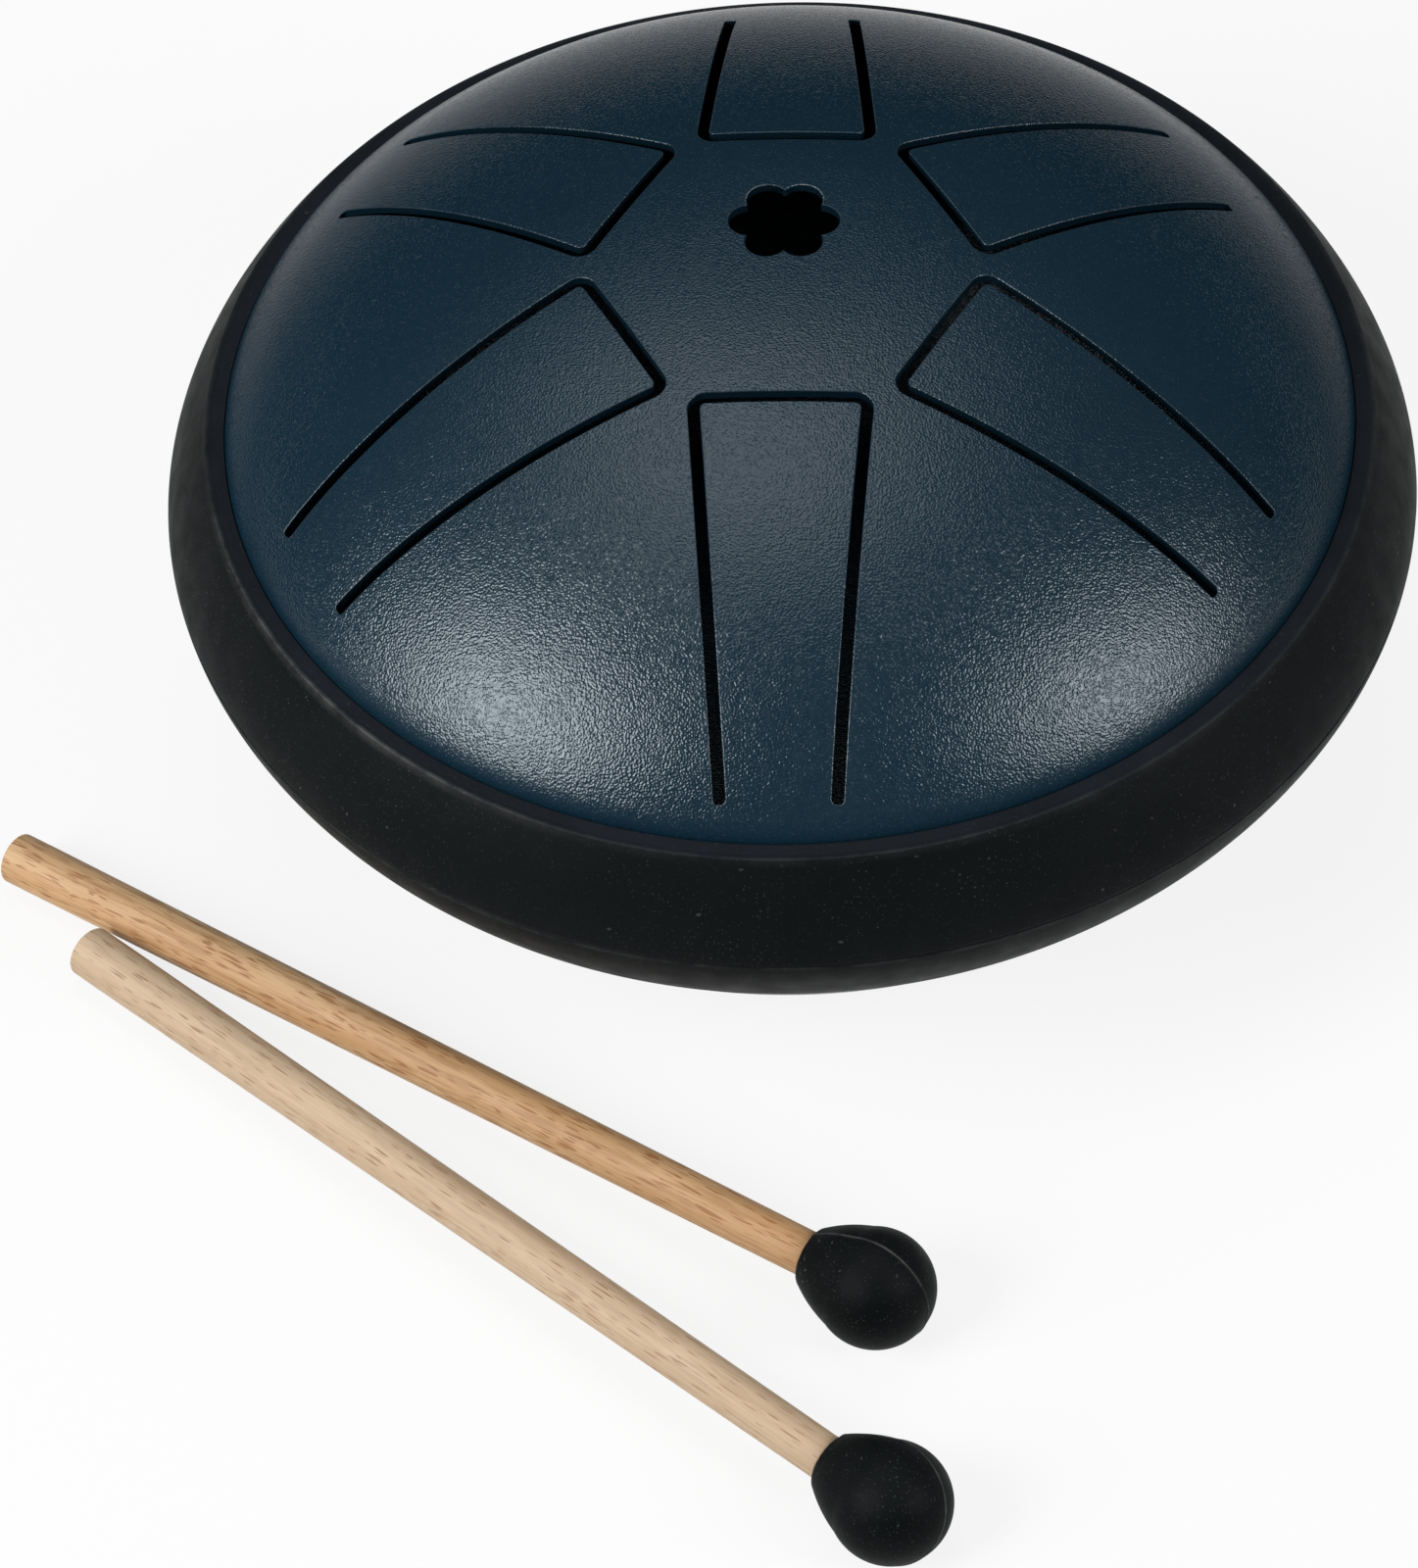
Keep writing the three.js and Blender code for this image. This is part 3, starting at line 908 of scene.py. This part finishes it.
def navy_paint():
    """Powder coat with fine flakes and orange peel, pale on the slots' edges as rubbed paint and a painted
    glint, with painted shade on their walls.

    Its gloss fades where the surface is seen at a slant, and at the rim.
    """
    material, tree, shader = new_material("navy_powder_coat")
    space = object_space(tree)
    tone = spread(tree, noise(tree, space, scale=40, detail=4), (0.3, 0.7), (0, 1))
    colour = blend_colours(tree, tone, PAINT_DARK, PAINT_LIGHT)
    fine = spread(tree, noise(tree, space, scale=4600), (0.42, 0.72), (0, 0.25))
    colour = blend_colours(tree, fine, colour, PAINT_FINE)
    flakes = specks(tree, space, scale=2100, size=0.26, share=0.4)
    colour = blend_colours(tree, flakes, colour, PAINT_FLAKE)
    # Edge marks: painted shade on the walls of the slots and the hole, and pale rubbed paint, partly a
    # painted glint, on their edges
    wear_glint_and_shade = piece_values(tree, "edge_wear_glint_and_shade")
    colour = blend_colours(tree, spread(tree, wear_glint_and_shade, (WALL_SHADE_MARK, 0), (0.45, 0)), colour, PAINT_WALL_SHADE)
    patches = noise(tree, space, scale=140, detail=4, rough=0.6)
    # Pale rubbed paint on the edges, partly a painted glint
    rubbed_glint = multiply(tree, wear_glint_and_shade, spread(tree, patches, (0.38, 0.62), (0.1, 1)))
    colour = blend_colours(tree, rubbed_glint, colour, PAINT_RUBBED_GLINT)
    facing = add_node(tree, "ShaderNodeLayerWeight", Blend=0.5).outputs["Facing"]
    rough = spread(tree, noise(tree, space, scale=700), (0.3, 0.7), (0.22, 0.28))
    rough = multiply(tree, rough, spread(tree, facing, (0.26, 0.5), (1, 0.65)))
    from_above = (1.0, 1.0, 0.0)
    flat = vector_math(tree, "MULTIPLY", space, _1=from_above).outputs["Vector"]
    radius = vector_math(tree, "LENGTH", flat).outputs["Value"]
    slant_gloss = spread(tree, facing, (0.22, 0.47), (GLOSS_ABOVE, GLOSS_SLANT))
    fade = [edge * MM for edge in GLOSS_FADE]
    rim_gloss = spread(tree, radius, fade, (GLOSS_ABOVE, GLOSS_RIM))
    peel = noise(tree, space, scale=3900, detail=0.0)
    tree.links.new(colour, shader.inputs["Base Color"])
    tree.links.new(rough, shader.inputs["Roughness"])
    tree.links.new(combine(tree, "MINIMUM", slant_gloss, rim_gloss), shader.inputs["IOR"])
    tree.links.new(raise_surface(tree, peel, distance=0.000078), shader.inputs["Normal"])
    shader.inputs["Specular Tint"].default_value = (*PAINT_GLOSS_TINT, 1.0)
    return material


def rubber(name, dark, light, dust_and_top_sheen, roughness, index_of_refraction, dust):
    """Rubber lighter on what faces up, partly settled dust and partly a painted sheen from above, and with
    haze, grit and lint on a share of its surface.
    """
    material, tree, shader = new_material(name)
    space = object_space(tree)
    tone = spread(tree, noise(tree, space, scale=90, detail=5, rough=0.6), (0.3, 0.7), (0, 1))
    colour = blend_colours(tree, tone, dark, light)
    # What faces up is lightened: settled dust, and a painted sheen of the light from above, bluish on the
    # ring's lip
    normal = add_node(tree, "ShaderNodeNewGeometry").outputs["Normal"]
    upward = add_node(tree, "ShaderNodeSeparateXYZ", Vector=normal).outputs["Z"]
    upward = spread(tree, upward, (0.6, 0.98), (0, 1))
    patches = spread(tree, noise(tree, space, scale=160, detail=4), (0.3, 0.7), (0.6, 1))
    colour = blend_colours(tree, multiply(tree, upward, patches), colour, dust_and_top_sheen)
    clumps = spread(tree, noise(tree, space, scale=110, detail=3, rough=0.6), (0.4, 0.62), (0.3, 1))
    haze = specks(tree, space, scale=2300, size=0.3, share=dust)
    colour = blend_colours(tree, multiply(tree, haze, clumps), colour, DUST_HAZE)
    grit = specks(tree, space, scale=1250, size=0.15, share=dust)
    colour = blend_colours(tree, multiply(tree, grit, clumps), colour, DUST_GRIT)
    for stretch in ((1, 0.35, 1), (0.35, 1, 0.5)):
        lint = specks(tree, object_space(tree, stretch), scale=560, size=0.075, share=dust)
        colour = blend_colours(tree, multiply(tree, lint, clumps), colour, DUST_LINT)
    # Pale lines: painted highlights on the ring's crest, partly wear, and just below its mould line, and on
    # the heads' mould lines, partly dust on the flash
    gaps = spread(tree, noise(tree, space, scale=240, detail=5, rough=0.65), (0.38, 0.62), (0.15, 1))
    line = multiply(tree, piece_values(tree, "mould_line"), gaps)
    colour = blend_colours(tree, line, colour, PALE_RUBBER_AND_HIGHLIGHT)
    rough = spread(tree, noise(tree, space, scale=300, detail=3), (0.3, 0.7), roughness)
    grain = noise(tree, space, scale=3200)
    tree.links.new(colour, shader.inputs["Base Color"])
    tree.links.new(rough, shader.inputs["Roughness"])
    tree.links.new(raise_surface(tree, grain, distance=0.000018), shader.inputs["Normal"])
    shader.inputs["IOR"].default_value = index_of_refraction
    return material


def beech(name, matrix, pale, warm, fleck, patches, lines, rays, pores, pore_density, drum_shade_toward_head):
    """Beech along the X of the matrix: warm patches, and dim lines, rays and pores by their shares.

    Painted shade, standing for the drum's shadow, darkens the wood towards the mallet's head by the share
    given for it.
    """
    material, tree, shader = new_material(name)
    # Darker wood, for the grain and for the painted shade near the head
    dim_share = 0.8
    dark_grain_and_shade = tuple(dim_share * level for level in warm)
    figure = noise(tree, object_space(tree, (28, 230, 230), matrix), detail=4, rough=0.6)
    colour = blend_colours(tree, spread(tree, figure, (0.36, 0.66), (0, patches)), pale, warm)
    place = add_node(tree, "ShaderNodeSeparateXYZ", Vector=object_space(tree, (1, 1, 1), matrix))
    # Painted shade: darker towards the head, where the drum shades the stick
    along = spread(tree, place.outputs["X"], (0.045, 0.085), (0, drum_shade_toward_head))
    colour = blend_colours(tree, along, colour, dark_grain_and_shade)
    fibre = noise(tree, object_space(tree, (110, 3000, 3000), matrix), detail=4, rough=0.65)
    colour = blend_colours(tree, spread(tree, fibre, (0.45, 0.75), (0, 0.6)), colour, dark_grain_and_shade)
    line_space = waver(tree, object_space(tree, (80, 1700, 1700), matrix), scale=0.8, amount=2.2)
    line = spread(tree, noise(tree, line_space, detail=1), (0.53, 0.6), (0, lines))
    colour = blend_colours(tree, line, colour, dark_grain_and_shade)
    ray_space = waver(tree, object_space(tree, (300, 2500, 2500), matrix), scale=0.8, amount=1.8)
    ray = specks(tree, ray_space, size=0.7, share=0.4, smallest=0.4, core=0.6)
    colour = blend_colours(tree, multiply(tree, ray, rays), colour, fleck)
    pore_space = waver(tree, object_space(tree, (300, 4600, 4600), matrix), scale=0.6, amount=1.5)
    pore = specks(tree, pore_space, size=0.55, share=pore_density, smallest=0.5, core=0.7)
    colour = blend_colours(tree, multiply(tree, pore, pores), colour, fleck)
    tree.links.new(colour, shader.inputs["Base Color"])
    tree.links.new(spread(tree, fibre, (0.3, 0.7), (0.5, 0.64)), shader.inputs["Roughness"])
    tree.links.new(raise_surface(tree, fibre, distance=0.00003, strength=0.6), shader.inputs["Normal"])
    shader.inputs["Specular IOR Level"].default_value = 0.3
    return material


paint = navy_paint()
ring_rubber = rubber(
    "ring_rubber",
    dark=(0.0021, 0.0034, 0.0037),
    light=(0.0030, 0.0043, 0.0047),
    # Bluish lighter colour on the ring's upward faces: a painted sheen from above, with some settled dust
    dust_and_top_sheen=(0.0098, 0.0122, 0.0165),
    roughness=(0.5, 0.62),
    index_of_refraction=1.15,
    dust=0.45,
)
foot_rubber = rubber(
    "foot_rubber",
    dark=(0.0035, 0.0040, 0.0042),
    light=(0.0050, 0.0055, 0.0057),
    dust_and_top_sheen=(0.0060, 0.0066, 0.0070),
    roughness=(0.6, 0.72),
    index_of_refraction=1.18,
    dust=0.3,
)
head_rubber = rubber(
    "head_rubber",
    dark=(0.0018, 0.0027, 0.0029),
    light=(0.0027, 0.0037, 0.0040),
    dust_and_top_sheen=(0.0050, 0.0062, 0.0066),
    roughness=(0.5, 0.62),
    index_of_refraction=1.15,
    dust=0.6,
)
warm_beech = beech(
    "beech_warm",
    mallet_matrix(0),
    pale=(0.60, 0.405, 0.228),
    warm=(0.475, 0.272, 0.126),
    fleck=(0.25, 0.10, 0.032),
    patches=0.9,
    lines=0.75,
    rays=0.75,
    pores=0.7,
    pore_density=0.25,
    # Painted shade of the drum on the head end of this mallet
    drum_shade_toward_head=0.3,
)
pale_beech = beech(
    "beech_pale",
    mallet_matrix(1),
    pale=(0.535, 0.405, 0.277),
    warm=(0.465, 0.330, 0.212),
    fleck=(0.22, 0.12, 0.055),
    patches=0.8,
    lines=0.4,
    rays=0.1,
    pores=0.75,
    pore_density=0.3,
    drum_shade_toward_head=0.0,
)


# Pieces in place

def finish_piece(piece, material, node, body=None):
    """Gives the piece its material and slot, the CAD part it replaces, and the body it rides on."""
    piece.data.materials.append(material)
    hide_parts(node)
    if body:
        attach(piece, body)


sheet = make_sheet()
finish_piece(sheet.part("drum_top", 0), paint, "top_shell", "drum")
for index, root_radius in enumerate(ROOTS):
    number = index + 1
    tongue = sheet.part(f"drum_tongue_{number}", number)
    finish_piece(tongue, paint, f"tongue_{number}")
    azimuth = tongue_azimuth(index)
    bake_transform(tongue)

finish_piece(add_piece("drum_bowl", *make_bowl()), paint, "bottom_shell", "drum")

ring_points, ring_faces, ring_normals, ring_pale_and_highlight = make_ring()
ring = add_piece("drum_ring", ring_points, ring_faces, ring_normals)
# The ring's pale crest and seam lines, painted highlights with some wear, share these values with the heads'
# mould lines
set_values(ring, "mould_line", ring_pale_and_highlight)
finish_piece(ring, ring_rubber, "rim_ring", "drum")

for index in range(FEET):
    number = index + 1
    azimuth = -math.pi / 2 + index * 2 * math.pi / FEET
    spot = Matrix.Translation((FOOT_PITCH * MM * math.cos(azimuth), FOOT_PITCH * MM * math.sin(azimuth), 0))
    foot = add_piece(f"drum_foot_{number}", *make_foot(), matrix=spot)
    finish_piece(foot, foot_rubber, f"foot_{number}", "drum")

for index, wood in enumerate((warm_beech, pale_beech)):
    number = index + 1
    matrix = mallet_matrix(index)
    stick = add_piece(f"mallet_{number}_beech_stick", *make_stick(STICK_LENGTHS[index]), matrix=matrix)
    finish_piece(stick, wood, f"mallet_{number}_stick", f"mallet_{number}")
    head_points, head_faces, head_line = make_head(STICK_LENGTHS[index], MOULD_LINES[index])
    head = add_piece(f"mallet_{number}_rubber_head", head_points, head_faces, matrix=matrix)
    # The head's mould line, painted pale as a highlight with some dust on the flash
    set_values(head, "mould_line", head_line)
    finish_piece(head, head_rubber, f"mallet_{number}_head", f"mallet_{number}")


# Floor, light and camera

def add_floor():
    """A wide matt floor just under the feet, which camera, gloss and glass see as nearly white."""
    points, faces, _ = lathe([(radius, 0) for radius in FLOOR_RADII], even_angles(FLOOR_STEPS))
    floor = add_piece("floor", points - np.array([0, 0, FOOT_HEIGHT + FLOOR_GAP]), [f[::-1] for f in faces])
    material = bpy.data.materials.new("floor_white")
    material.use_nodes = True
    tree = material.node_tree
    tree.nodes.clear()
    matt = add_node(tree, "ShaderNodeBsdfDiffuse", Color=(*FLOOR_GREY, 1.0))
    white = add_node(tree, "ShaderNodeEmission", Color=(1.0, 1.0, 1.0, 1.0), Strength=1.0)
    path = add_node(tree, "ShaderNodeLightPath").outputs
    seen = combine(tree, "MAXIMUM", path["Is Camera Ray"], path["Is Glossy Ray"])
    seen = combine(tree, "MAXIMUM", seen, path["Is Transmission Ray"])
    share = multiply(tree, seen, FLOOR_WHITENESS)
    mix = add_node(tree, "ShaderNodeMixShader", _0=share, _1=matt.outputs[0], _2=white.outputs[0])
    add_node(tree, "ShaderNodeOutputMaterial", Surface=mix.outputs[0])
    floor.data.materials.append(material)


def add_softbox(name, azimuth, elevation, distance, width, height, radiance):
    """A rectangular lamp aimed at the drum, from angles in degrees and sizes in metres."""
    data = bpy.data.lights.new(name, "AREA")
    data.shape = "RECTANGLE"
    data.size, data.size_y = width, height
    data.energy = radiance * math.pi * width * height
    lamp = bpy.data.objects.new(name, data)
    bpy.context.scene.collection.objects.link(lamp)
    a, e = math.radians(azimuth), math.radians(elevation)
    way = Vector((math.cos(e) * math.cos(a), math.cos(e) * math.sin(a), math.sin(e)))
    lamp.location = Vector(LAMP_TARGET) + way * distance
    lamp.rotation_mode = "QUATERNION"
    lamp.rotation_quaternion = way.to_track_quat("Z", "Y")


def add_world():
    world = bpy.data.worlds.new("studio")
    world.use_nodes = True
    background = world.node_tree.nodes["Background"]
    background.inputs["Color"].default_value = (*WORLD_COLOUR, 1.0)
    background.inputs["Strength"].default_value = WORLD_STRENGTH
    bpy.context.scene.world = world


def add_camera():
    data = bpy.data.cameras.new("camera")
    data.sensor_width = CAMERA_SENSOR
    data.lens = CAMERA_LENS
    data.clip_start, data.clip_end = CAMERA_CLIP
    camera = bpy.data.objects.new("camera", data)
    bpy.context.scene.collection.objects.link(camera)
    camera.location = CAMERA_PLACE
    camera.rotation_euler = [math.radians(angle) for angle in CAMERA_TURN]
    bpy.context.scene.camera = camera


add_floor()
add_softbox("softbox_left", azimuth=-147, elevation=35, distance=1.0, width=0.5, height=0.6, radiance=11.4)
add_softbox("softbox_right", azimuth=-25, elevation=31, distance=1.0, width=0.4, height=0.5, radiance=9.3)
add_softbox("softbox_above", azimuth=112, elevation=74, distance=1.1, width=0.7, height=0.8, radiance=1.95)
add_world()
add_camera()
bpy.context.scene.view_settings.view_transform = "Standard"
